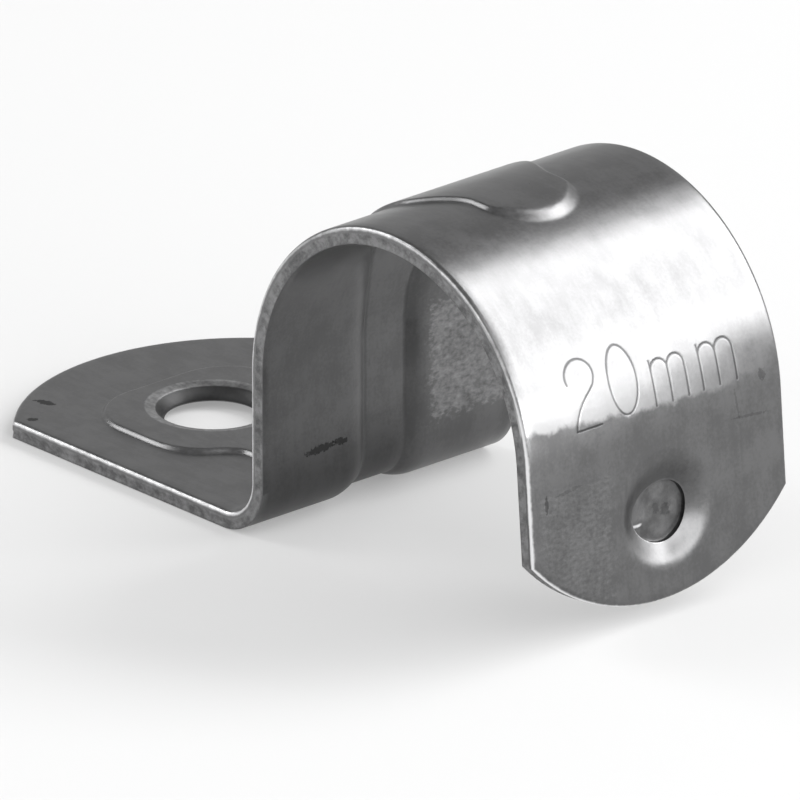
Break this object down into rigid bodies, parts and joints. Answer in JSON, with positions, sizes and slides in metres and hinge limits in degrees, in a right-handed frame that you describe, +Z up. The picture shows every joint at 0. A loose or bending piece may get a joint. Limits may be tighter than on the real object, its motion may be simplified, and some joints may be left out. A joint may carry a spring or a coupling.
{
  "type": "conduit strap",
  "caption": "Half saddle strap pressed from sheet steel: a round arch holds a conduit, a flat foot with a screw hole fixes it, a rib stiffens the bend and a free leg presses on the wall.",
  "frame": {"origin": "on the conduit's axis, half way along the strap's width", "axes": "+Z up, away from the surface the strap is screwed to; Y along the conduit; the foot points to -X and the free leg hangs at +X"},
  "size_m": [0.0456, 0.018, 0.021],
  "materials": {
    "zinc_steel": "satin"
  },
  "bodies": {
    "root": {"strap": "zinc_steel"}
  },
  "joints": []
}
